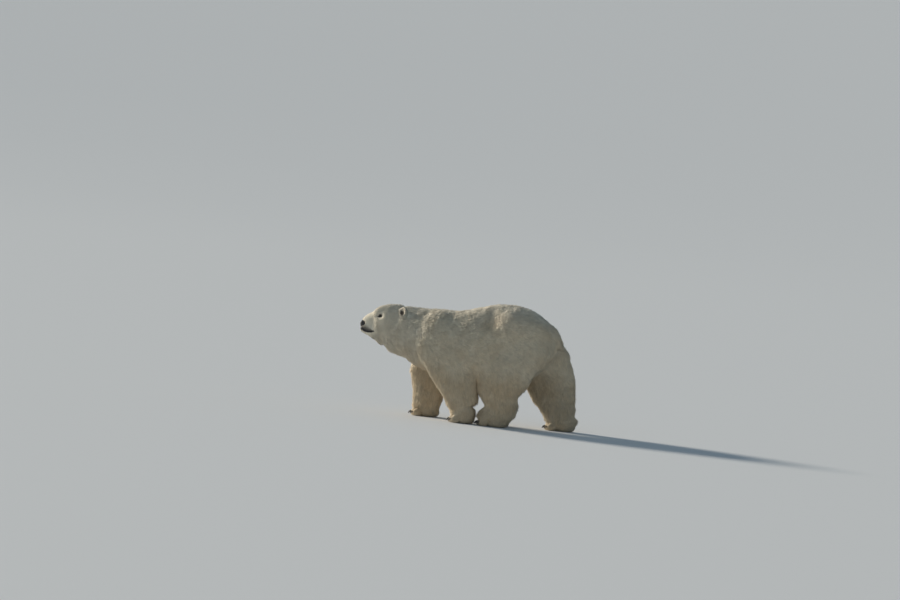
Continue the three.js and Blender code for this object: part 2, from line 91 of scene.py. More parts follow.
# Legs from the top down: [x, y, z, half width, half depth], both level.
LEGS = {
    "foreleg_left": [
        [150, -320, 960, 110, 150],
        [190, -300, 800, 120, 210],
        [206, -212, 640, 120, 256],
        [210, -96, 480, 116, 260],
        [208, -35, 340, 110, 215],
        [203, 4, 240, 106, 176],
        [201, -10, 200, 103, 144],
        [199, 22, 145, 100, 138],
        [196, 38, 95, 98, 130],
    ],
    "foreleg_right": [
        [-150, -320, 960, 110, 150],
        [-190, -370, 790, 120, 210],
        [-206, -405, 620, 120, 215],
        [-210, -428, 470, 116, 211],
        [-207, -425, 340, 110, 184],
        [-202, -423, 230, 106, 166],
        [-198, -432, 150, 102, 150],
        [-196, -436, 95, 98, 138],
    ],
    "hindleg_left": [
        [110, 540, 980, 160, 225],
        [170, 560, 820, 152, 290],
        [200, 500, 690, 145, 330],
        [216, 430, 560, 132, 305],
        [222, 414, 440, 122, 266],
        [214, 384, 340, 110, 216],
        [206, 417, 240, 104, 181],
        [203, 416, 195, 100, 176],
        [201, 392, 140, 98, 192],
        [200, 362, 95, 98, 184],
    ],
    "hindleg_right": [
        [-110, 560, 980, 160, 225],
        [-165, 672, 830, 155, 300],
        [-200, 740, 700, 146, 290],
        [-214, 790, 560, 130, 285],
        [-216, 833, 430, 116, 260],
        [-208, 880, 300, 106, 226],
        [-201, 934, 190, 100, 180],
        [-198, 962, 120, 96, 163],
        [-198, 966, 90, 94, 148],
    ],
}
# Paws: middle of the sole, half width, length, turn of the toes (degrees) and rise of the heel.
PAWS = {
    "forepaw_left": dict(leg="foreleg_left", x=196, y=27, half=112, length=274, turn=-4, heel=0),
    "forepaw_right": dict(leg="foreleg_right", x=-196, y=-440, half=112, length=300, turn=4, heel=0),
    "hindpaw_left": dict(leg="hindleg_left", x=200, y=354, half=104, length=342, turn=-4, heel=60),
    "hindpaw_right": dict(leg="hindleg_right", x=-198, y=970, half=104, length=320, turn=4, heel=50),
}
TOES = 5
TOE_LENGTH, TOE_HEIGHT = 52, 34
CLAW_LENGTH, CLAW_RADIUS = 44, 10

HAUNCH = dict(at=[128, 520, 985], radii=[180, 290, 190], pitch=-8)
SHOULDER = dict(at=[122, -300, 850], radii=[168, 190, 215])
RUMP = dict(at=[0, 780, 900], radii=[130, 138, 172])
BELLY = dict(at=[90, 20, 650], radii=[224, 330, 215])
CHEEK = dict(at=[70, -858, 915], radii=[52, 140, 96], yaw=-18)
BROW = dict(at=[46, -952, 1032], radii=[40, 48, 30], pitch=24)
EAR = dict(at=[120, -694, 1042], radii=[54, 27, 62], pitch=-6, yaw=46, roll=14)
EAR_HOLLOW = dict(forward=25, radii=[38, 25, 47])
EYE_AT, EYE_RADIUS = np.array([81.0, -928.0, 984.0]), 15.0
EYE_OUT = np.array([0.80, -0.56, 0.20])  # the way an eye looks


def eye_axes():
    """Out of the left eye, back along its slit, and up."""
    out = EYE_OUT / np.linalg.norm(EYE_OUT)
    back = np.cross(out, [0.0, 0.0, 1.0]) * -1
    back = back / np.linalg.norm(back) + [0, 0, 0.16]
    back = back - (back @ out) * out
    back = back / np.linalg.norm(back)
    return out, back, np.cross(out, back)


EYE_AXES = eye_axes()

# The lip line of one side, from under the nose to the corner of the mouth: [y, z].
LIPS = [[-1150, 848], [-1122, 832], [-1088, 818], [-1052, 812], [-1018, 815], [-994, 823]]
LIPS = np.array(LIPS, float)

# ---- forms


def smooth_rows(rows, steps=5):
    """Catmull-Rom curve through rows of numbers."""
    rows = np.array(rows, float)
    knots = np.vstack([2 * rows[0] - rows[1], rows, 2 * rows[-1] - rows[-2]])
    out = []
    for a, b, c, d in zip(knots, knots[1:], knots[2:], knots[3:]):
        for t in np.arange(steps) / steps:
            bend = (2 * a - 5 * b + 4 * c - d) * t * t + (3 * b - a - 3 * c + d) * t**3
            out.append(b + 0.5 * ((c - a) * t + bend))
    return np.array(out + [rows[-1]])


def ellipsoid(x, y, z, a, b, c):
    """About the distance to an ellipsoid, for points in its own axes."""
    x, y, z = x / a, y / b, z / c
    near = np.sqrt(x * x + y * y + z * z) + 1e-9
    x, y, z = x / a, y / b, z / c
    return near * (near - 1) / (np.sqrt(x * x + y * y + z * z) + 1e-12)


def sweep(points, stations, steps=5):
    """A body of elliptical sections along a curve in the middle plane."""
    rows = smooth_rows(stations, steps)
    nearest = np.full(len(points), np.inf)
    x, y, z = points.T
    for start, end in zip(rows, rows[1:]):
        run = math.hypot(end[0] - start[0], end[1] - start[1])
        cy, cz = (end[0] - start[0]) / run, (end[1] - start[1]) / run
        dy, dz = y - start[0], z - start[1]
        along = dy * cy + dz * cz
        t = np.clip(along / run, 0, 1)
        width = start[2] + (end[2] - start[2]) * t
        depth = start[3] + (end[3] - start[3]) * t
        cap = 0.6 * np.minimum(width, depth)
        nearest = np.minimum(nearest, ellipsoid(x, dz * cy - dy * cz, along - t * run, width, depth, cap))
    return nearest


def limb(points, stations):
    """A leg of level elliptical sections, one for each height."""
    rows = smooth_rows(stations)[::-1]
    x, y, z = points.T
    at = [np.interp(z, rows[:, 2], rows[:, c]) for c in range(5)]
    return ellipsoid(x - at[0], y - at[1], z - at[2], at[3], at[4], 0.6 * at[3])


def turned(pitch=0, yaw=0, roll=0):
    """Axes of a shape as rows; pitch turns it about X, yaw about Z, and roll about Y, in degrees."""
    rx, ry, rz = (math.radians(v) for v in (pitch, roll, yaw))
    made = Matrix.Rotation(rz, 3, "Z") @ Matrix.Rotation(rx, 3, "X") @ Matrix.Rotation(ry, 3, "Y")
    return np.array(made.transposed())


def lump(points, at, radii, pitch=0, yaw=0, roll=0):
    """A turned ellipsoid."""
    own = (points - np.array(at, float)) @ turned(pitch, yaw, roll).T
    return ellipsoid(*own.T, *radii)


def mirrored(shape):
    other = dict(shape, at=[-shape["at"][0], *shape["at"][1:]])
    other.update({k: -shape[k] for k in ("yaw", "roll") if k in shape})
    return other


def melt(a, b, width):
    """Two distances joined, with their crease filled over about the given width."""
    h = np.maximum(width - np.abs(a - b), 0) / width
    return np.minimum(a, b) - h * h * width / 4


def trunk_form(points):
    form = melt(sweep(points, SPINE), lump(points, **RUMP), 80)
    for shape in (HAUNCH, SHOULDER, BELLY):
        for each in (shape, mirrored(shape)):
            form = melt(form, lump(points, **each), 80)
    return form


def head_form(points):
    bone = melt(sweep(points, SKULL, 14), sweep(points, JAW, 14), 24)
    soft = None
    for shape in (CHEEK, mirrored(CHEEK), BROW, mirrored(BROW)):
        other = lump(points, **shape)
        soft = other if soft is None else melt(soft, other, 24)
    return melt(bone, soft, 60)


def ear_form(points, shape):
    out, turn = np.sign(shape["at"][0]), math.radians(shape["yaw"])
    at = [
        shape["at"][0] + out * 4 + math.sin(turn) * EAR_HOLLOW["forward"],
        shape["at"][1] - math.cos(turn) * EAR_HOLLOW["forward"],
        shape["at"][2] + 4,
    ]
    hollow = lump(points, **dict(shape, at=at, radii=EAR_HOLLOW["radii"]))
    return -melt(-lump(points, **shape), hollow, 10)


def paw_axes(points, paw):
    """Points in a paw's own axes, with its toes towards -Y."""
    c, s = math.cos(math.radians(paw["turn"])), math.sin(math.radians(paw["turn"]))
    dx, dy = points[:, 0] - paw["x"], points[:, 1] - paw["y"]
    return np.stack([dx * c + dy * s, dy * c - dx * s, points[:, 2]], 1)


def toe_place(paw, i):
    side = 2 * i / (TOES - 1) - 1
    back = abs(side) ** 1.6 * 38 + side * math.copysign(6, paw["x"])
    return side * paw["half"] * 0.76, TOE_LENGTH - paw["length"] / 2 + back


def paw_form(points, paw):
    own = paw_axes(points, paw)
    half, length, heel = paw["half"], paw["length"], paw["heel"]
    form = lump(own, (0, length * 0.1, 48), (half * 0.86, length * 0.4, 66))
    if heel:
        form = melt(form, lump(own, (0, length * 0.27, 58 + heel), (half * 0.7, 86, 62)), 40)
    for i in range(TOES):
        x, y = toe_place(paw, i)
        form = melt(form, lump(own, (x, y, TOE_HEIGHT), (half * 0.25, TOE_LENGTH, TOE_HEIGHT * 1.35)), 15)
    return form


def body_form(points):
    """The whole animal out to the tips of its coat."""
    core = trunk_form(points)
    body = core
    for paw in PAWS.values():
        leg = melt(limb(points, LEGS[paw["leg"]]), paw_form(points, paw), 40)
        body = melt(body, melt(core, leg, 80), 14)
    body = melt(body, sweep(points, TAIL), 45)
    front = points[:, 1] < -480
    near = points[front]
    face = melt(body[front], head_form(near), 45)
    for ear in (EAR, mirrored(EAR)):
        face = melt(face, ear_form(near, ear), 12)
    body[front] = face
    return body


# ---- where a point is on the animal


def step(value, low, high):
    """0 at low, 1 at high, smooth between; low may be the larger."""
    t = np.clip((value - low) / (high - low), 0, 1)
    return t * t * (3 - 2 * t)


def mirror_x(points):
    return points * np.where(points[:, :1] < 0, [-1, 1, 1], [1, 1, 1])


def eye_distance(points):
    return np.linalg.norm(mirror_x(points) - EYE_AT, axis=1)


def eye_patch(points):
    """Below 1 on the bare almond round an eye, with its corner drawn out towards the nose."""
    h, v = ((mirror_x(points) - EYE_AT) @ axis for axis in EYE_AXES[1:])
    corner = step(h, 0, -30)
    v = v + 9 * corner
    almond = np.hypot(h / np.where(h < 0, 28, 22), v / (15 - 7.5 * corner))
    return np.where(eye_distance(points) < 60, almond, 9.0)


def ear_distance(points):
    return lump(mirror_x(points), **EAR)


def lip_distance(points):
    """Distance, seen from the side, to the lip line, and how far along it (0 front, 1 corner)."""
    best, along = np.full(len(points), np.inf), np.zeros(len(points))
    side = points[:, 1:]
    for i, (a, b) in enumerate(zip(LIPS, LIPS[1:])):
        t = np.clip((side - a) @ (b - a) / ((b - a) @ (b - a)), 0, 1)
        gap = np.linalg.norm(side - a - t[:, None] * (b - a), axis=1)
        along = np.where(gap < best, (i + t) / (len(LIPS) - 1), along)
        best = np.minimum(best, gap)
    return best, along


def varied(value, *steps):
    """A value moved towards each target in turn, by that target's weight."""
    for target, weight in steps:
        value = value + (target - value) * weight
    return value


class Place:
    """Weights from 0 to 1 of the regions of the body at some points."""

    def __init__(self, points):
        x, y, z = points.T
        self.head = step(y, -700, -890) * step(z, 670, 800)
        self.muzzle = step(y, -980, -1060)
        self.ear = step(ear_distance(points), 14, 2)
        self.neck = step(y, -380, -560) * step(z, 520, 640) * (1 - self.head)
        self.leg = step(z, 640, 430) * step(y, -760, -640)
        self.paw = step(z, 150, 80)
        self.belly = step(z, 640, 520) * step(np.abs(x), 150, 90)
        self.chest = step(y, -330, -470) * step(z, 760, 640) * (1 - self.paw)
        self.tail = step(sweep(points, TAIL), 12, 0)
        self.rump = step(y, 640, 860) * step(z, 560, 660)


def coat_depth(place):
    """How deep the skin lies below the tips of the coat."""
    body = 19 + 3 * place.chest - 2 * place.neck - 2 * place.leg
    limbs = (9, place.paw), (7, place.head), (3, place.muzzle), (12, place.tail), (4, place.ear)
    return varied(body, *limbs)


def noise(points, size, seed=0):
    """Smooth noise from -1 to 1, of the given grain in mm."""
    table = np.random.default_rng(seed).uniform(-1, 1, (32, 32, 32))
    p = points / size + seed * 7.31
    cell = np.floor(p).astype(int)
    t = p - cell
    t = t * t * (3 - 2 * t)
    total = 0
    for corner in np.ndindex(2, 2, 2):
        weight = np.prod(np.where(corner, t, 1 - t), axis=1)
        total = total + weight * table[tuple(((cell + corner) % 32).T)]
    return total


# Creases and swellings of the flesh: a place, its radii, and how far they sink (or, if less than 0,
# swell) the surface, in mm.
RELIEF = [
    ([300, 174, 390], [120, 30, 150], 7),  # between the elbow and the thigh
    ([300, 112, 570], [120, 34, 90], 8),
    ([292, -20, 690], [120, 70, 60], 7),  # behind the upper arm
    ([300, 330, 760], [120, 60, 150], 6),  # flank in front of the thigh
    ([-300, -190, 640], [120, 50, 150], 10),
    ([-300, 420, 600], [120, 60, 170], 10),
    ([230, -330, 900], [90, 120, 110], -3),  # shoulder blade
    ([-230, -330, 900], [90, 120, 110], -3),
    ([240, 120, 470], [90, 90, 70], -6),  # elbow
    ([0, 420, 1230], [60, 400, 60], 5),  # along the back
    ([262, 240, 1070], [90, 100, 120], 28),  # hollow of the loin
    ([-262, 240, 1070], [90, 100, 120], 28),
    ([272, 430, 1060], [90, 90, 120], -18),  # hip
    ([-272, 430, 1060], [90, 90, 120], -18),
    ([0, -560, 600], [40, 130, 90], -8),  # throat and breast
    ([0, 900, 690], [30, 120, 150], 16),  # between the buttocks
    ([90, 800, 620], [70, 80, 120], 9),  # behind the left thigh
]
# The same for the left half of the face, mirrored; only the head's finer mesh holds them.
FACE = [
    (EYE_AT + [18, -2, 0], [40, 34, 26], 12),  # hollow round the eye
    (EYE_AT + [14, -9, -1], [24, 27, 16], 10),  # eye socket
    (EYE_AT + [-6, -36, -12], [14, 30, 8], 5),  # inner corner, running down the muzzle
    (EYE_AT + [-8, 0, 29], [26, 36, 10], -6),  # upper rim of the socket
    (EYE_AT + [18, 20, -29], [18, 34, 12], -4),  # below the eye
    ([66, -1000, 935], [22, 40, 20], 4),  # hollow of the muzzle's side
    ([54, -1066, 866], [18, 40, 18], -4),  # upper lip
    ([0, -985, 1045], [12, 60, 30], 4),  # furrow of the brow
    ([48, -1116, 896], [26, 26, 30], 3),  # beside the nose
    ([0, -1140, 856], [3.5, 26, 20], 5),  # under the nose
    ([96, -880, 880], [30, 46, 46], -4),  # jaw muscle
    ([112, -770, 900], [26, 34, 90], 3),  # behind the cheek, below the ear
    ([80, -1000, 790], [40, 30, 30], 3),  # throat behind the chin
]
# The hollow in the skin for the nose pad.
NOSE_HOLLOW = dict(at=[0, -1110, 893], radii=[45, 45, 34.5], pitch=16)


def dent(points, at, radii):
    """1 at a place, fading out over its radii."""
    q = (points - at) / radii
    return np.exp(-(q * q).sum(1))


def creases(points, deep):
    """The sum of the creases, or with deep the sum of only those that sink, from 0 to about 1."""
    total = 0
    for at, radii, sink in RELIEF:
        if sink > 0 or not deep:
            total = total + (min(1, sink / 14) if deep else sink) * dent(points, at, radii)
    return total


def relief(points):
    return creases(points, False) + 4.0 * noise(points, 190, 3) + 3.4 * noise(points, 62, 4)


def face_relief(points):
    """The lips and the small creases of the face."""
    near = mirror_x(points)
    gap = lip_distance(points)[0]
    under = step(points[:, 1], -970, -1000)
    total = under * (6.5 * np.exp(-((gap / 3.4) ** 2)) - 2.6 * np.exp(-(((gap - 8) / 4.5) ** 2)))
    for at, radii, sink in FACE:
        total = total + sink * dent(near, at, radii)
    return total + 0.5 * noise(points, 16, 8)


def skin_form(points):
    place = Place(points)
    form = body_form(points) + coat_depth(place) + relief(points) * (1 - place.head) * (1 - place.paw)
    form = form + face_relief(points) * step(points[:, 1], -700, -780)
    form = -melt(-form, lump(points, **NOSE_HOLLOW), 16)
    flat = 1.5 - points[:, 2]  # the soles
    return -melt(-form, -flat, 8)


# ---- from a form to a mesh


def banded(form, low, high, cell):
    """The form's values on a grid, exact near its surface and only roughly right elsewhere."""
    count = (np.ceil((high - low) / cell / 4).astype(int)) * 4 + 1
    axes = [low[i] + cell * np.arange(count[i]) for i in range(3)]
    coarse_axes = [a[::4] for a in axes]
    grid = np.stack(np.meshgrid(*coarse_axes, indexing="ij"), -1)
    coarse = form(grid.reshape(-1, 3)).reshape(grid.shape[:3])
    nearest = [np.minimum((np.arange(n) + 2) // 4, (n - 1) // 4) for n in count]
    value = coarse[np.ix_(*nearest)]
    band = np.argwhere(np.abs(value) < cell * 6 + 14)
    value[tuple(band.T)] = form(low + band * cell)
    return value


def net_points(value, cells):
    """A vertex for each cell that the surface passes: the middle of its crossings of the cell's edges."""
    total, found = np.zeros((len(cells), 3)), np.zeros(len(cells))
    for axis in range(3):
        others = [a for a in range(3) if a != axis]
        for o1, o2 in np.ndindex(2, 2):
            start = np.zeros(3, int)
            start[others] = o1, o2
            ahead = start.copy()
            ahead[axis] = 1
            a, b = value[tuple((cells + start).T)], value[tuple((cells + ahead).T)]
            crossed = (a < 0) != (b < 0)
            t = np.where(crossed, a / np.where(crossed, a - b, 1), 0)
            place = start + np.outer(t, np.eye(3)[axis])
            total[crossed] += place[crossed]
            found[crossed] += 1
    return cells + total / found[:, None]


def net_quads(inside, index):
    """A quad round each edge of the grid that the surface crosses, facing out."""
    quads = []
    for axis in range(3):
        p, q = (axis + 1) % 3, (axis + 2) % 3
        first, second = [slice(1, -1)] * 3, [slice(1, -1)] * 3
        first[axis], second[axis] = slice(0, -1), slice(1, None)
        edges = np.argwhere(inside[tuple(first)] != inside[tuple(second)])
        leaving = inside[tuple(first)][tuple(edges.T)]
        edges[:, [p, q]] += 1
        ring = []
        for dp, dq in ((1, 1), (0, 1), (0, 0), (1, 0)):
            cell_of = edges.copy()
            cell_of[:, p] -= dp
            cell_of[:, q] -= dq
            ring.append(index[tuple(cell_of.T)])
        ring = np.stack(ring, 1)
        ring[~leaving] = ring[~leaving][:, ::-1]
        quads.append(ring)
    return np.vstack(quads)


def surface(form, low, high, cell):
    """Surface nets: the vertices and quads of the form's surface inside a box."""
    low, high = np.array(low, float), np.array(high, float)
    value = banded(form, low, high, cell)
    inside = value < 0
    n = value.shape
    corners = sum(
        inside[i : n[0] - 1 + i, j : n[1] - 1 + j, k : n[2] - 1 + k].astype(int)
        for i, j, k in np.ndindex(2, 2, 2)
    )
    active = (corners > 0) & (corners < 8)
    cells = np.argwhere(active)
    index = np.full(active.shape, -1)
    index[active] = np.arange(len(cells))
    return low + cell * net_points(value, cells), net_quads(inside, index)


def slope(form, points, reach=1.0):
    """Unit gradient of a form at points, and how steep it is."""
    rise = [form(points + reach * e) - form(points - reach * e) for e in np.eye(3)]
    g = np.stack(rise, 1) / (2 * reach)
    steep = np.linalg.norm(g, axis=1)
    return g / np.maximum(steep, 1e-9)[:, None], np.maximum(steep, 0.3)


def settled(form, points, limit, passes=3):
    """Points moved along the slope until they lie on the form's surface."""
    for _ in range(passes):
        unit, steep = slope(form, points)
        points = points - unit * np.clip(form(points) / steep, -limit, limit)[:, None]
    return points


def split(points, faces, picked):
    """Splits each picked quad in four; a neighbour gains the new corners on its shared edges."""
    points = [tuple(p) for p in points]
    middle = {}

    def halfway(a, b):
        key = (a, b) if a < b else (b, a)
        if key not in middle:
            middle[key] = len(points)
            points.append(tuple((u + v) / 2 for u, v in zip(points[a], points[b])))
        return middle[key]

    made, rest = [], []
    for face, chosen in zip(faces, picked):
        if not chosen:
            rest.append(face)
            continue
        edge = [halfway(a, b) for a, b in zip(face, [*face[1:], face[0]])]
        centre = len(points)
        points.append(tuple(sum(points[i][c] for i in face) / 4 for c in range(3)))
        made += [[face[i], edge[i], centre, edge[i - 1]] for i in range(4)]
    for face in rest:
        out = []
        for a, b in zip(face, [*face[1:], face[0]]):
            out.append(a)
            extra = middle.get((a, b) if a < b else (b, a))
            if extra is not None:
                out.append(extra)
        made.append(out)
    return np.array(points), made


def face_middles(points, faces):
    return np.array([points[f[:4]].mean(0) for f in faces])


# ---- materials


def rgb(value):
    return (*value, 1.0)


def material(name, color, roughness, **sockets):
    """A Principled material, its node tree and its shader."""
    made = bpy.data.materials.new(name)
    made.use_nodes = True
    shader = made.node_tree.nodes["Principled BSDF"]
    shader.inputs["Base Color"].default_value = rgb(color)
    shader.inputs["Roughness"].default_value = roughness
    for key, value in sockets.items():
        shader.inputs[key.replace("_", " ")].default_value = value
    return made, made.node_tree, shader


def node(tree, kind, **settings):
    """A new node; each setting is one of its sockets or else one of its own values."""
    made = tree.nodes.new(kind)
    for key, value in settings.items():
        if key in made.inputs:
            made.inputs[key].default_value = value
        else:
            setattr(made, key, value)
    return made


def wire(tree, source, output, target, socket):
    tree.links.new(source.outputs[output], target.inputs[socket])


def bump(tree, shader, height, strength, distance):
    made = node(tree, "ShaderNodeBump", Strength=strength, Distance=distance)
    tree.links.new(height, made.inputs["Height"])
    wire(tree, made, "Normal", shader, "Normal")


def ramp(tree, shader, value, dark, light, low=0.0, high=1.0):
    """Base colour from dark, where the value is low, to light, where it is high."""
    made = node(tree, "ShaderNodeValToRGB")
    for element, color, position in zip(made.color_ramp.elements, (dark, light), (low, high)):
        element.color, element.position = rgb(color), position
    tree.links.new(value, made.inputs["Fac"])
    wire(tree, made, "Color", shader, "Base Color")


def painted(tree, shader, grain, factor):
    """Base colour from the mesh's painted tint, darkened a little by a grain."""
    tint = node(tree, "ShaderNodeAttribute", attribute_name="tint")
    mix = node(tree, "ShaderNodeMix", data_type="RGBA", blend_type="MULTIPLY", Factor=factor)
    wire(tree, tint, "Color", mix, 6)
    wire(tree, grain, "Color", mix, 7)
    wire(tree, mix, 2, shader, "Base Color")


def fur_noise(tree, scale, stretch):
    """Noise drawn out along the lie of the coat, by object coordinates."""
    place = node(tree, "ShaderNodeTexCoord")
    lay = node(tree, "ShaderNodeMapping", Scale=stretch)
    grain = node(tree, "ShaderNodeTexNoise", Scale=scale, Detail=5.0, Roughness=0.6)
    wire(tree, place, "Object", lay, "Vector")
    wire(tree, lay, "Vector", grain, "Vector")
    return grain


def skin_material():
    """The skin under the coat, shinier where it is bare."""
    look = dict(Sheen_Weight=0.15, Sheen_Roughness=0.5)
    made, tree, shader = material("coat_skin", (0.7, 0.6, 0.45), 0.8, **look)
    grain = fur_noise(tree, 420.0, (1.0, 0.14, 1.0))
    painted(tree, shader, grain, 0.35)
    wet = node(tree, "ShaderNodeAttribute", attribute_name="wet")
    rough = node(tree, "ShaderNodeMapRange", **{"To Min": 0.85, "To Max": 0.38})
    wire(tree, wet, "Fac", rough, "Value")
    wire(tree, rough, "Result", shader, "Roughness")
    bump(tree, shader, grain.outputs["Fac"], 0.6, 0.002)
    return made


def fur_material():
    """The tufts."""
    look = dict(Sheen_Weight=0.2, Sheen_Roughness=0.5, Specular_IOR_Level=0.3)
    made, tree, shader = material("coat_fur", (0.8, 0.7, 0.55), 0.62, **look)
    grain = fur_noise(tree, 260.0, (1.0, 0.12, 1.0))
    painted(tree, shader, grain, 0.15)
    bump(tree, shader, grain.outputs["Fac"], 0.25, 0.001)
    return made


def leather_material():
    """The pebbled leather of the nose."""
    made, tree, shader = material("nose_leather", (0.012, 0.010, 0.010), 0.4, Coat_Weight=0.25)
    cells = node(tree, "ShaderNodeTexVoronoi", Scale=420.0, feature="SMOOTH_F1")
    place = node(tree, "ShaderNodeTexCoord")
    wire(tree, place, "Object", cells, "Vector")
    ramp(tree, shader, cells.outputs["Distance"], (0.006, 0.005, 0.005), (0.035, 0.030, 0.028))
    bump(tree, shader, cells.outputs["Distance"], 0.7, 0.0012)
    return made


def horn_material():
    """The dark horn of the claws, with streaks along them."""
    made, tree, shader = material("claw_horn", (0.02, 0.016, 0.013), 0.3, Coat_Weight=0.3)
    grain = fur_noise(tree, 300.0, (1.0, 0.08, 1.0))
    ramp(tree, shader, grain.outputs["Fac"], (0.010, 0.008, 0.007), (0.075, 0.060, 0.045), 0.35, 0.8)
    bump(tree, shader, grain.outputs["Fac"], 0.4, 0.0008)
    return made


def eye_material():
    """The painted eyeball under a clear coat."""
    look = dict(Specular_IOR_Level=0.35, Coat_Weight=0.25, Coat_Roughness=0.03)
    made, tree, shader = material("eye", (0.01, 0.006, 0.004), 0.12, **look)
    tint = node(tree, "ShaderNodeAttribute", attribute_name="tint")
    wire(tree, tint, "Color", shader, "Base Color")
    return made


def lid_material():
    """The bare skin round an eye."""
    made, tree, shader = material("lid", (0.014, 0.011, 0.010), 0.42)
    grain = fur_noise(tree, 500.0, (1.0, 1.0, 1.0))
    ramp(tree, shader, grain.outputs["Fac"], (0.008, 0.006, 0.006), (0.045, 0.036, 0.030))
    bump(tree, shader, grain.outputs["Fac"], 0.6, 0.001)
    return made


# ---- pieces


def in_scene(name, data):
    made = bpy.data.objects.new(name, data)
    bpy.context.scene.collection.objects.link(made)
    return made


def mesh_object(name, points, faces, made_of):
    """A smooth mesh from points in mm."""
    mesh = bpy.data.meshes.new(name)
    mesh.from_pydata((np.asarray(points) * MM).tolist(), [], [list(map(int, f)) for f in faces])
    mesh.materials.append(made_of)
    mesh.polygons.foreach_set("use_smooth", [True] * len(mesh.polygons))
    mesh.update()
    return in_scene(name, mesh)


def tube(rings, sides):
    """Quads between rings of points that lie one after another."""
    faces = []
    for low in range(0, rings * sides, sides):
        for a in range(sides):
            b = (a + 1) % sides
            faces.append([low + a, low + b, low + sides + b, low + sides + a])
    return faces


def around(rings, sides):
    """For each point of a tube, how far along it is (0 to 1) and its angle round it."""
    return [(i / rings, math.tau * j / sides) for i in range(rings + 1) for j in range(sides)]


def paint(piece, name, values):
    """A colour or a number for each vertex."""
    values = np.asarray(values, np.float32)
    if values.ndim == 2:
        layer = piece.data.attributes.new(name, "FLOAT_COLOR", "POINT")
        values = np.column_stack([values, np.ones(len(values), np.float32)])
        layer.data.foreach_set("color", values.ravel())
    else:
        layer = piece.data.attributes.new(name, "FLOAT", "POINT")
        layer.data.foreach_set("value", values)


CREAM = np.array([0.82, 0.72, 0.54])
TAN = np.array([0.70, 0.53, 0.33])
PALE = np.array([0.87, 0.81, 0.68])
DARK = np.array([0.016, 0.013, 0.012])
# Dark side of the muzzle: partly its skin, partly painted shade.
MUZZLE_DUSK_AND_SHADE = np.array([0.075, 0.064, 0.056])
# Dark skin inside the ears, deepened with painted shade for their hollows.
EAR_SKIN_AND_SHADE = np.array([0.06, 0.046, 0.036])


def blend(a, b, weight):
    return a + (b - a) * np.asarray(weight)[:, None]


def coat_color(points, place):
    """The coat's colour: cream, warmer on legs, belly and rump, paler on back and head."""
    warm = 0.55 * place.leg + 0.35 * place.belly + 0.25 * place.rump + 0.2 * place.chest + 0.2
    warm = warm + 0.22 * noise(points, 150, 11) + 0.2 * noise(points, 46, 12)
    color = blend(np.tile(CREAM, (len(points), 1)), TAN, np.clip(warm * 0.75, 0, 1))
    pale = 0.5 * step(points[:, 2], 950, 1200) * (1 - place.head) + 0.4 * place.head + 0.3 * place.neck
    color = blend(color, PALE, np.clip(pale + 0.15 * noise(points, 90, 13), 0, 1))
    # Painted shade: the coat is darkened in the creases that sink, where shade falls between the folds.
    color = blend(color, color * [0.62, 0.54, 0.45], np.clip(0.55 * creases(points, True), 0, 0.6))
    # The inside of the ear: its dark skin, with painted shade for the hollow, also laid on its hair.
    color = blend(color, EAR_SKIN_AND_SHADE * 3, 0.7 * ear_inside(points))
    # Painted shade: the coat is darkened round each eye, standing for the shade of its socket.
    color = color * (1 - 0.38 * step(eye_distance(points), 56, 22))[:, None]
    # The muzzle's side darkened: dark skin showing through, with painted shade.
    return blend(color, MUZZLE_DUSK_AND_SHADE, muzzle_dusk_and_shade(points))


def muzzle_dusk_and_shade(points):
    """The dark side of the muzzle, between the nose and the lips: dark skin showing through, and painted
    shade, darkest along the lips.
    """
    y, z = points[:, 1], points[:, 2]
    gap, along = lip_distance(points)
    above = z > np.interp(y, LIPS[:, 0], LIPS[:, 1]) - 4
    height = 74 * (1 - along**3) + 1
    shade = 0.9 * step(gap, height, height * 0.25) ** 0.8 * above
    return shade * step(y, -985, -1010) * step(z, 900, 870)


def bare(points):
    """1 where the skin is bare and dark: lips, rims of the eyes, and soles; the lips' dark band is broad
    at the front, partly painted shade under the muzzle.
    """
    gap, along = lip_distance(points)
    # Bare lip and painted shade: the band is widest at the front, under the muzzle.
    width = 15 - 9 * along + 2 * noise(points, 14, 15)
    lips = step(gap, width + 4, width - 2) * step(points[:, 1], -974, -990)
    under_nose = step(np.hypot(points[:, 0] / 20, (points[:, 2] - 862) / 16), 1.15, 0.85)
    lips = np.maximum(lips, under_nose * step(points[:, 1], -1105, -1120))
    eyes = step(eye_patch(points), 1.12, 0.92)
    soles = step(points[:, 2], 9, 4)
    return np.maximum.reduce([lips, eyes, soles])


def ear_inside(points):
    near = mirror_x(points)
    turn = math.radians(EAR["yaw"])
    at = np.array(EAR["at"]) + [4 + math.sin(turn) * 22, -math.cos(turn) * 22, 4]
    q = ((near - at) @ turned(EAR["pitch"], EAR["yaw"], EAR["roll"]).T) / [37, 27, 46]
    return step(np.linalg.norm(q, axis=1), 1.1, 0.8) * step(ear_distance(points), 12, 0)


SKIN_BOX = (-396, -1200, -24), (396, 1190, 1296)
SKIN_CELL = 12.8
HEAD_BACK, HEAD_LOW = -640, 700  # y and z where the head's finer mesh begins


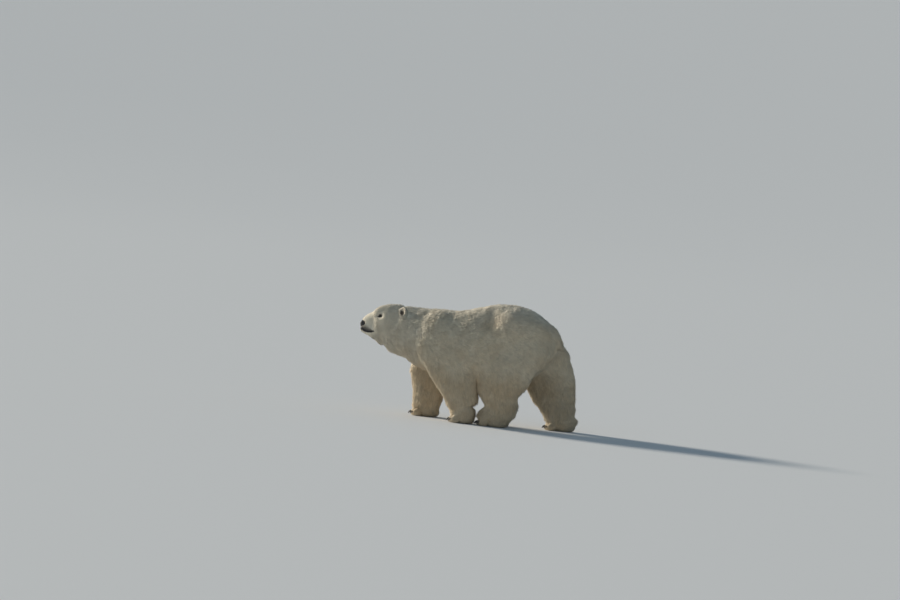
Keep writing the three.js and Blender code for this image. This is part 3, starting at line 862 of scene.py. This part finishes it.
def make_skin():
    """The skin of the whole animal, with its markings and its painted shade painted on."""
    points, quads = surface(skin_form, *SKIN_BOX, SKIN_CELL)
    points = settled(skin_form, points, 3, 2)
    faces = quads.tolist()
    middles = face_middles(points, faces)
    points, faces = split(points, faces, (middles[:, 1] < HEAD_BACK) & (middles[:, 2] > HEAD_LOW))
    for reach in (26, 12):
        middles = face_middles(points, faces)
        quad = np.array([len(f) == 4 for f in faces])
        near = (lip_distance(middles)[0] < reach) & (middles[:, 1] < -965)
        near |= eye_distance(middles) < 30 + reach
        near |= lump(middles, **NOSE_HOLLOW) < reach * 0.5
        if reach > 20:
            near |= (middles[:, 1] < -1000) | (ear_distance(middles) < 8)
        points, faces = split(points, faces, quad & near)
    face = points[:, 1] < HEAD_BACK
    points[face] = settled(skin_form, points[face], 2, 4)

    skin = mesh_object("skin", points, faces, skin_material())
    place = Place(points)
    color = coat_color(points, place)
    # The bare inside of the ear: dark skin with painted shade for the hollow.
    color = blend(color, EAR_SKIN_AND_SHADE, ear_inside(points) * 0.97)
    dark = bare(points)
    paint(skin, "tint", blend(np.minimum(color * 1.08, 0.92), DARK, dark))
    paint(skin, "wet", dark)
    return skin


skin = make_skin()
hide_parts("head", "neck", "trunk", "tail", "ear_left", "ear_right", *LEGS, *PAWS)
pieces = [skin]

# ---- the lie of the coat


def unit(v):
    return v / np.maximum(np.linalg.norm(v, axis=1), 1e-9)[:, None]


def lie(points, normals, place):
    """The way the hair points: back along the body, down the legs, back from the nose."""
    zero, side, z = np.zeros(len(points)), np.sign(points[:, 0]), points[:, 2]

    def rows(a, b, c):
        return np.stack([zero + a, zero + b, zero + c], 1)

    brow = step(z, 960, 1040)
    outward = rows(side, 1, 1)
    off_eye = unit(mirror_x(points) - EYE_AT) * outward
    up_ear = unit(mirror_x(points) - (np.array(EAR["at"]) + [-16, 8, -70])) * outward
    way = rows(0, 1, -0.06 - 0.55 * step(z, 1080, 760))
    for turned_to, weight in (
        (rows(0, 0.75, -0.65), place.neck * step(z, 980, 760)),
        (rows(0, 0.35, -0.95), place.chest),
        (rows(0, 0.22, -1), place.leg),
        (rows(0, 0.5, -0.9), place.rump * step(z, 1050, 850)),
        (rows(side * 0.25, -0.55, -0.6), place.paw * step(z, 100, 40)),
        (rows(side * 0.35 * (1 - brow), 1, -0.25 + 0.5 * brow), place.head),
        (rows(side * 0.5, 0.9, 0.05), place.muzzle),
        (off_eye, step(eye_distance(points), 56, 38)),
        (up_ear, place.ear),
        (rows(0, 0.4, -1), place.tail),
    ):
        way = blend(way, turned_to, weight)
    way = way + 0.22 * np.stack([noise(points, 95, s) for s in (21, 22, 23)], 1)
    way = way - (way * normals).sum(1)[:, None] * normals
    return unit(way)


def triples(items, name, kind):
    """Three numbers of each vertex or triangle of a mesh."""
    values = np.empty(len(items) * 3, kind)
    items.foreach_get(name, values)
    return values.reshape(-1, 3)


def scattered(mesh, wanted, density, seed):
    """Points spread over a mesh, with its normals: evenly for their density, jittered by a seed."""
    mesh.calc_loop_triangles()
    spots = triples(mesh.vertices, "co", np.float32).astype(float) / MM
    normals = triples(mesh.vertices, "normal", np.float32).astype(float)
    random = np.random.default_rng(seed)
    tri = random.permutation(triples(mesh.loop_triangles, "vertices", np.int32))
    a, b, c = (spots[tri[:, i]] for i in range(3))
    area = np.linalg.norm(np.cross(b - a, c - a), axis=1) / 2
    share = area * density((a + b + c) / 3, unit(np.cross(b - a, c - a)))
    total = np.cumsum(share)
    at = (np.arange(wanted) + random.random(wanted)) / wanted * total[-1]
    chosen = tri[np.minimum(np.searchsorted(total, at), len(tri) - 1)]
    u, v = random.random((2, wanted))
    flip = u + v > 1
    u, v = np.where(flip, 1 - u, u), np.where(flip, 1 - v, v)
    weights = np.stack([1 - u - v, u, v], 1)
    where = (spots[chosen] * weights[:, :, None]).sum(1)
    return where, unit((normals[chosen] * weights[:, :, None]).sum(1))


def covered(points, normals):
    """1 where hair grows, 0 on bare skin."""
    under = step(normals[:, 2], -0.7, -0.9) * step(points[:, 2], 40, 20)
    nose = step(lump(points, **NOSE_HOLLOW), 5, 2)
    return 1 - np.maximum.reduce([bare(points), 0.97 * ear_inside(points), under, nose])


def outer_density(points, normals):
    """Relative number of long outer tufts for each area."""
    place = Place(points)
    many = (1 + 0.3 * place.leg + 0.2 * place.chest + 0.35 * place.neck) * (1 - 0.8 * place.paw)
    return many * (1 - place.head) * step(ear_distance(points), 12, 40) * covered(points, normals)


def short_density(points, normals):
    """Relative number of short straight tufts: the undercoat, and the whole coat of head and paws."""
    place = Place(points)
    near_eye = step(eye_distance(points), 60, 40)
    head = (5.5, place.head), (11.0, place.muzzle), (8.0, near_eye), (6.5, place.ear)
    return varied(0.75 + 0.5 * place.neck, (3.0, place.paw), *head) * covered(points, normals)


def ragged(points, place):
    """1 where the coat hangs in uneven locks: low on the legs, on the chest and the belly."""
    return np.maximum.reduce([place.leg * step(points[:, 2], 620, 400), place.chest, place.belly])


def outer_shape(points, place, random):
    """Length, width, and lift at the root and at the tip (radians) of the outer tufts."""
    length = 50 + 8 * place.chest + 10 * place.belly + 2 * place.neck + 6 * place.leg
    length = varied(length, (26, place.paw), (20, place.head), (44, place.tail))
    width = varied(6.4 - 1.6 * place.neck, (4.6, place.paw), (3.6, place.head))
    tip = 8 + 15 * ragged(points, place) - 7 * place.chest
    tip = tip + random.normal(0, 5, len(points)) + 7 * noise(points, 50, 32)
    root = 28 * random.uniform(0.8, 1.2, len(points))
    length = length * (1 + 0.2 * noise(points, 60, 31)) * random.uniform(0.72, 1.18, len(points))
    width = width * random.uniform(0.7, 1.25, len(points))
    return length, width, np.radians(root), np.radians(tip)


def short_shape(points, place, random):
    """The same for the short tufts, which are straight."""
    near_eye = step(eye_distance(points), 60, 32)
    finest = np.maximum(place.muzzle, near_eye)
    face = (17, place.head), (8, place.muzzle), (7, near_eye)
    length = varied(38.0, (24, place.paw), *face, (15, place.ear))
    thin = (2.6, place.head), (1.6, finest), (2.4, place.ear)
    width = varied(6.0 - 1.6 * place.neck, (4.0, place.paw), *thin)
    lift = varied(15.0, (22, place.paw), (15, place.head), (34, place.ear))
    lift = lift * random.uniform(0.6, 1.3, len(points))
    length = length * (1 + 0.15 * noise(points, 40, 33)) * random.uniform(0.75, 1.2, len(points))
    width = width * random.uniform(0.75, 1.25, len(points))
    return length, width, np.radians(lift), np.radians(lift)


def unwrap(points):
    """A flat place from 0 to 1 for each point: along the body and round it, with a field for each leg."""
    x, y, z = points.T
    rows = smooth_rows(SPINE + SKULL[2:])
    order = np.argsort(rows[:, 0])
    middle = np.interp(y, rows[order, 0], rows[order, 1])
    u = 0.01 + 0.98 * (y + 1200) / 2400
    v = 0.01 + 0.56 * (np.arctan2(x, z - middle) / math.tau + 0.5)
    for i, paw in enumerate(PAWS.values()):
        path = smooth_rows(LEGS[paw["leg"]])[::-1]
        cx, cy = (np.interp(z, path[:, 2], path[:, c]) for c in (0, 1))
        own = (np.abs(x - paw["x"]) < 150) & (z < 520) & ((y < 174) == paw["leg"].startswith("fore"))
        round_leg = np.arctan2(y - cy, x - cx) / math.tau + 0.5
        u = np.where(own, 0.01 + 0.24 * i + 0.23 * z / 520, u)
        v = np.where(own, 0.6 + 0.38 * round_leg, v)
    return np.stack([u, v], 1)


PATCH = 0.003  # size of a tuft's place on the unwrap
# A tuft is a thin three-sided spike: rings of three corners, and a point.
RING = np.array([[-0.5, -0.12], [0.5, -0.12], [0.0, 0.34]])
SHORT_SHADES = np.array([0.9, 0.9, 0.9, 1.02])
BENT_SHADES = np.array([0.88, 0.88, 0.88, 0.98, 0.98, 0.98, 1.05])


def tuft_corners(spots, normals, along, shape, pull, bent):
    """The corners of each tuft, its rings first and its point last, and the way it rises."""
    length, width, root, tip = shape
    across = np.cross(normals, along)
    start = spots - normals * 2.0
    rise = along * np.cos(root)[:, None] + normals * np.sin(root)[:, None]
    fall = along * np.cos(tip)[:, None] + normals * np.sin(tip)[:, None]
    over = np.cross(rise, across)
    middle = start + rise * (0.42 * length)[:, None]
    end = middle + fall * (0.58 * length)[:, None] + pull
    rings = [start, middle + 0.3 * pull] if bent else [start]
    corners = np.empty((len(spots), 3 * len(rings) + 1, 3))
    for i, centre in enumerate(rings):
        for k, (flat, high) in enumerate(RING):
            offset = (across * flat + over * high) * width[:, None]
            corners[:, 3 * i + k] = centre + offset * (0.85 if i else 1)
    corners[:, -1] = end
    corners[:, :, 2] = np.maximum(corners[:, :, 2], 1.5)
    return corners, rise


def tuft_faces(count, size, bent):
    """The corners of all faces one after another, and where each face starts among them."""
    first = (np.arange(count) * size)[:, None]
    top = size - 4
    sides = [(a, (a + 1) % 3) for a in range(3)]
    quads = [first + [a, b, 3 + b, 3 + a] for a, b in sides] if bent else []
    ends = [first + [top + a, top + b, size - 1] for a, b in sides]
    quads = np.concatenate(quads, 1).reshape(-1) if bent else np.zeros(0, int)
    ends = np.concatenate(ends, 1).reshape(-1)
    loops = np.concatenate([quads, ends]).astype(np.int32)
    starts = np.concatenate([np.arange(len(quads) // 4) * 4, len(quads) + np.arange(count * 3) * 3])
    return loops, starts.astype(np.int32)


def soft_normals(corners, rise, normals):
    """Shading that turns round each tuft but mostly follows the skin, so that the coat looks deep."""
    soft = corners - np.mean(corners, axis=1, keepdims=True)
    soft = soft - (soft * rise[:, None]).sum(2, keepdims=True) * rise[:, None]
    soft = soft / np.maximum(np.linalg.norm(soft, axis=2, keepdims=True), 1e-6)
    return unit((0.35 * soft + 0.8 * normals[:, None]).reshape(-1, 3))


def tufts(name, spots, normals, along, shape, pull, colors, made_of, bent):
    """One mesh of tapering tufts, each with a bend and a middle ring if bent is true."""
    corners, rise = tuft_corners(spots, normals, along, shape, pull, bent)
    count, size = corners.shape[:2]
    loops, starts = tuft_faces(count, size, bent)
    mesh = bpy.data.meshes.new(name)
    mesh.vertices.add(count * size)
    mesh.vertices.foreach_set("co", (corners.reshape(-1) * MM).astype(np.float32))
    mesh.loops.add(len(loops))
    mesh.loops.foreach_set("vertex_index", loops)
    mesh.polygons.add(len(starts))
    mesh.polygons.foreach_set("loop_start", starts)
    mesh.update(calc_edges=True)
    mesh.polygons.foreach_set("use_smooth", np.ones(len(starts), bool))

    levels = (0, 0.5) if bent else (0,)
    spread = np.array([[x, y] for y in levels for x in (0, 0.5, 1)] + [[0.5, 1]])
    flat = (unwrap(spots)[:, None] + (spread - 0.5) * PATCH).reshape(-1, 2)
    mesh.uv_layers.new(name="OFBake").data.foreach_set("uv", flat[loops].astype(np.float32).ravel())

    mesh.normals_split_custom_set_from_vertices(soft_normals(corners, rise, normals))
    mesh.materials.append(made_of)
    made = in_scene(name, mesh)
    shades = BENT_SHADES if bent else SHORT_SHADES
    paint(made, "tint", np.clip(colors[:, None] * shades[None, :, None], 0, 1).reshape(-1, 3))
    return made


def drawn_together(spots, normals, along, length, tip, place, random):
    """How each tuft's tip is drawn towards that of the middle of the nearest lock."""
    draw = 0.12 + 0.22 * ragged(spots, place)
    locks = random.choice(len(spots), len(spots) // 14, replace=False)
    tree = KDTree(len(locks))
    for i, spot in enumerate(spots[locks]):
        tree.insert(spot, i)
    tree.balance()
    nearest = locks[[tree.find(spot)[1] for spot in spots]]
    ends = spots + (along * np.cos(tip)[:, None] + normals * 0.3) * length[:, None]
    pull = (ends[nearest] - ends) * draw[:, None]
    size = np.linalg.norm(pull, axis=1)
    return pull * np.minimum(1, 0.3 * length / np.maximum(size, 1e-6))[:, None], nearest


def make_layer(name, wanted, density, shape_of, bent, seed, per_piece):
    random = np.random.default_rng(seed)
    spots, normals = scattered(skin.data, wanted, density, seed + 1)
    place = Place(spots)
    along = lie(spots, normals, place)
    along = unit(along + np.cross(normals, along) * random.normal(0, 0.17, len(spots))[:, None])
    shape = shape_of(spots, place, random)
    tone = random.normal(0, 1, len(spots)) * (0.05 + 0.04 * place.head + 0.04 * place.paw)
    tone = tone + 0.09 * noise(spots, 26, 41)
    pull = np.zeros_like(spots)
    if bent:
        pull, nearest = drawn_together(spots, normals, along, shape[0], shape[3], place, random)
        tone = tone + 0.05 * noise(spots[nearest], 9, 42)
    colors = coat_color(spots, place) * (1 + tone)[:, None]
    order = np.argsort(spots[:, 1])
    for i, start in enumerate(range(0, len(order), per_piece)):
        some = order[start : start + per_piece]
        values = (spots, normals, along, tuple(part[some] for part in shape), pull, colors)
        values = [v if isinstance(v, tuple) else v[some] for v in values]
        piece = tufts(f"{name}_{i + 1}", *values, FUR, bent)
        pieces.append(piece)


FUR = fur_material()
share = 1.0
make_layer("coat_outer", int(98000 * share), outer_density, outer_shape, True, 5, 21000)
make_layer("coat_short", int(185000 * share), short_density, short_shape, False, 15, 64000)

# ---- eyes, lids, nose and claws


def axes_of_eye(side):
    flip = np.array([side, 1, 1])
    return EYE_AT * flip, *(axis * flip for axis in EYE_AXES)


PUPIL, IRIS = 0.24, 0.66  # radians from the eye's axis to their edges


def make_eye(side, name):
    """An eyeball with its cornea's bulge; iris and pupil lie round its axis."""
    at, out, back, up = axes_of_eye(side)
    rings, sides = 40, 48
    points, color = [], []
    for s, turn in around(rings, sides):
        angle = math.pi * s
        bulge = 1 + 0.06 * math.exp(-((angle / 0.42) ** 2))
        flat = back * math.cos(turn) + up * math.sin(turn)
        points.append(at + EYE_RADIUS * bulge * (out * math.cos(angle) + flat * math.sin(angle)))
        if angle < PUPIL:
            color.append((0.003, 0.003, 0.004))
        elif angle < IRIS:
            streak = 0.62 + 0.38 * math.sin(turn * 17 + 3 * math.sin(turn * 5))
            color.append((0.055 * streak, 0.028 * streak, 0.012 * streak))
        else:
            color.append((0.012, 0.008, 0.006))
    eye = mesh_object(name, points, tube(rings, sides), EYE_GLASS)
    paint(eye, "tint", color)
    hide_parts(name)
    return eye


# Half width, and half height above and below, of the opening and of the rim's outer edge.
OPENING = 12.5, 7.8, 6.8
RIM = 22.0, 15.0, 12.0


def ground_under(tree, spot, out):
    """Height of the skin over a spot along the eye's axis, or None where there is none."""
    far = 60.0
    found = tree.ray_cast(Vector((spot + out * far) * MM), Vector(-out), 2 * far * MM)
    return None if found[0] is None else far - found[3] / MM


def make_lid(side, name, tree):
    """The bare dark rim: from the almond opening on the eyeball out to the skin."""
    at, out, back, up = axes_of_eye(side)
    rings, sides = 12, 64
    points = []
    for s, turn in around(rings, sides):
        c, n = math.cos(turn), math.sin(turn)
        corner, tall = abs(c) ** 3, 1 if n > 0 else 2
        inner = np.array([OPENING[0] * c, OPENING[tall] * n * (1 - 0.25 * corner)])
        outer = np.array([RIM[0] * c - 2.0 * corner * (c < 0), RIM[tall] * n])
        h, v = inner + (outer - inner) * s
        reach = math.sqrt(max((EYE_RADIUS + 0.9) ** 2 - h * h - v * v, 1.0))
        spot = at + back * h + up * v
        ground = ground_under(tree, spot, out)
        if ground is None:
            ground = reach - 6
        thick = 2.4 * math.sin(math.pi * min(1, s * 1.5)) if s < 0.67 else 0
        on_ball, on_skin = reach + thick, ground - 0.2
        mix = step(s, 0.25, 0.85)
        height = max(on_ball, on_skin * mix)
        if on_skin < on_ball:
            height = on_ball + (on_skin - on_ball) * mix
        if s == 0:
            height = reach - 1.6
        if s == 1:
            height = ground - 2.5
        points.append(spot + out * height)
    lid = mesh_object(name, points, tube(rings, sides), LID_SKIN)
    return lid


def nose_form(points):
    """The nose pad: broad on top, narrow below, with hooked nostrils and a groove between them."""
    near = mirror_x(points)
    form = melt(
        lump(points, [0, -1110, 893], [47.5, 47.5, 37], pitch=16),
        lump(points, [0, -1121, 870], [26, 31, 28], pitch=10),
        14,
    )
    form = melt(form, lump(near, [25, -1134, 893], [18, 18, 18]), 8)
    hole = melt(
        lump(near, [19, -1152, 893], [8.5, 15, 7.5], yaw=-12),
        lump(near, [31, -1142, 885], [10, 11, 3.4], yaw=-50, roll=24),
        5,
    )
    form = -melt(-form, hole, 3)
    x, y, z = points.T
    groove = np.exp(-((x / 2.2) ** 2)) * step(z, 915, 890) * step(y, -1120, -1135)
    return form + 3.0 * groove + 0.35 * noise(points, 7, 51)


def make_nose():
    """The nose pad, in the hollow that the skin leaves for it."""
    points, quads = surface(nose_form, (-56, -1178, 832), (56, -1052, 946), 1.8)
    points = settled(nose_form, points, 0.8, 2)
    nose = mesh_object("nose_pad", points, quads.tolist(), LEATHER)
    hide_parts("nose")
    return nose


def make_claw(paw, i, name):
    """A curved claw with a ridge on top, its root inside the toe."""
    x, y = toe_place(paw, i)
    root = np.array([x, y - TOE_LENGTH + 16, TOE_HEIGHT + 4.0])
    bend = root + [0, -CLAW_LENGTH * 0.62, 1]
    end = root + [0, -CLAW_LENGTH * 0.9, -CLAW_LENGTH * 0.52]
    rings, sides = 12, 14
    own = []
    for t, turn in around(rings, sides):
        centre = root * (1 - t) ** 2 + bend * 2 * t * (1 - t) + end * t * t
        along = (bend - root) * (1 - t) + (end - bend) * t
        along = along / np.linalg.norm(along)
        up = np.array([0, along[2], -along[1]])
        radius = CLAW_RADIUS * (1 - 0.9 * t**1.5)
        ridge = 1.12 if math.sin(turn) > 0.7 else 1.0
        across = np.array([0.78 * math.cos(turn), 0, 0])
        own.append(centre + radius * (across + ridge * math.sin(turn) * up))
    faces = tube(rings, sides)
    faces.append([rings * sides + j for j in range(sides)])
    x, y, z = np.array(own).T
    c, s = math.cos(math.radians(paw["turn"])), math.sin(math.radians(paw["turn"]))
    points = np.stack([x * c - y * s + paw["x"], x * s + y * c + paw["y"], z], 1)
    claw = mesh_object(name, points, faces, HORN)
    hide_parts(name)
    return claw


EYE_GLASS, LID_SKIN = eye_material(), lid_material()
HORN, LEATHER = horn_material(), leather_material()
skin_tree = BVHTree.FromPolygons(
    [v.co for v in skin.data.vertices], [p.vertices for p in skin.data.polygons if p.center.y < -0.85]
)
for side, word in ((1, "left"), (-1, "right")):
    pieces.append(make_eye(side, f"eye_{word}"))
    pieces.append(make_lid(side, f"lid_{word}", skin_tree))
pieces.append(make_nose())
for paw_name, paw in PAWS.items():
    pieces += [make_claw(paw, i, f"{paw_name}_claw_{i + 1}") for i in range(TOES)]

for piece in pieces:
    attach(piece, "root")

# ---- floor, lights and camera


# Distance and height of the floor's rings, in metres.
BACKDROP = [(45, 0), (60, 0.5), (75, 1.6), (90, 3.1), (110, 5.3), (460, 44)]


def make_floor():
    """A plain floor that rises a little, far away all round, so that it is the backdrop too."""
    sides = 96
    turns = [math.tau * i / sides for i in range(sides)]
    points = [(0, 0, 0)]
    for reach, height in BACKDROP:
        points += [(reach * math.cos(a), reach * math.sin(a), height) for a in turns]
    faces = [[0, 1 + i, 1 + (i + 1) % sides] for i in range(sides)]
    for a, b, c, d in tube(len(BACKDROP) - 1, sides):
        faces.append([1 + a, 1 + d, 1 + c, 1 + b])
    pale = material("floor_pale", (0.70, 0.71, 0.72), 0.9)[0]
    floor = mesh_object("floor", np.array(points) / MM, faces, pale)


def make_sun(name, toward, strength, spread, color):
    """A wide soft lamp: toward points from the bear to it, and spread is its width in degrees."""
    light = bpy.data.lights.new(name, "SUN")
    light.energy, light.angle, light.color = strength, math.radians(spread), color
    made = in_scene(name, light)
    made.rotation_mode = "QUATERNION"
    made.rotation_quaternion = Vector(toward).to_track_quat("Z", "Y")


def make_camera():
    """A long lens on the bear's left, a little behind, low and rolled, so that it walks uphill."""
    data = bpy.data.cameras.new("camera")
    distance, width = 40.0, 9.13
    data.sensor_width = 36.0
    data.lens = 36.0 * distance / width
    data.clip_start, data.clip_end = 1.0, 1500.0
    azimuth, elevation, roll = (math.radians(v) for v in (102, 2.5, 5.54))
    level = math.cos(elevation)
    back = Vector((math.sin(azimuth) * level, -math.cos(azimuth) * level, math.sin(elevation)))
    turn = (-back).to_track_quat("-Z", "Y").to_matrix() @ Matrix.Rotation(roll, 3, "Z")
    right, up = turn.col[0], turn.col[1]
    aim = Vector((0, 0.351, 0)) - right * 0.4665 + up * 1.273
    made = in_scene("camera", data)
    made.matrix_world = Matrix.Translation(aim + back * distance) @ turn.to_4x4()
    bpy.context.scene.camera = made


make_floor()
make_sun("key", (-0.24, -0.90, 0.37), 3.8, 10, (1.0, 0.92, 0.80))
make_sun("fill", (0.92, -0.25, 0.75), 0.12, 60, (0.92, 0.97, 1.0))
make_camera()

world = bpy.data.worlds.new("studio")
world.use_nodes = True
background = world.node_tree.nodes["Background"].inputs
background["Color"].default_value = rgb((0.54, 0.73, 0.90))
background["Strength"].default_value = 0.29
bpy.context.scene.world = world
bpy.context.scene.view_settings.view_transform = "Standard"

bpy.context.view_layer.update()
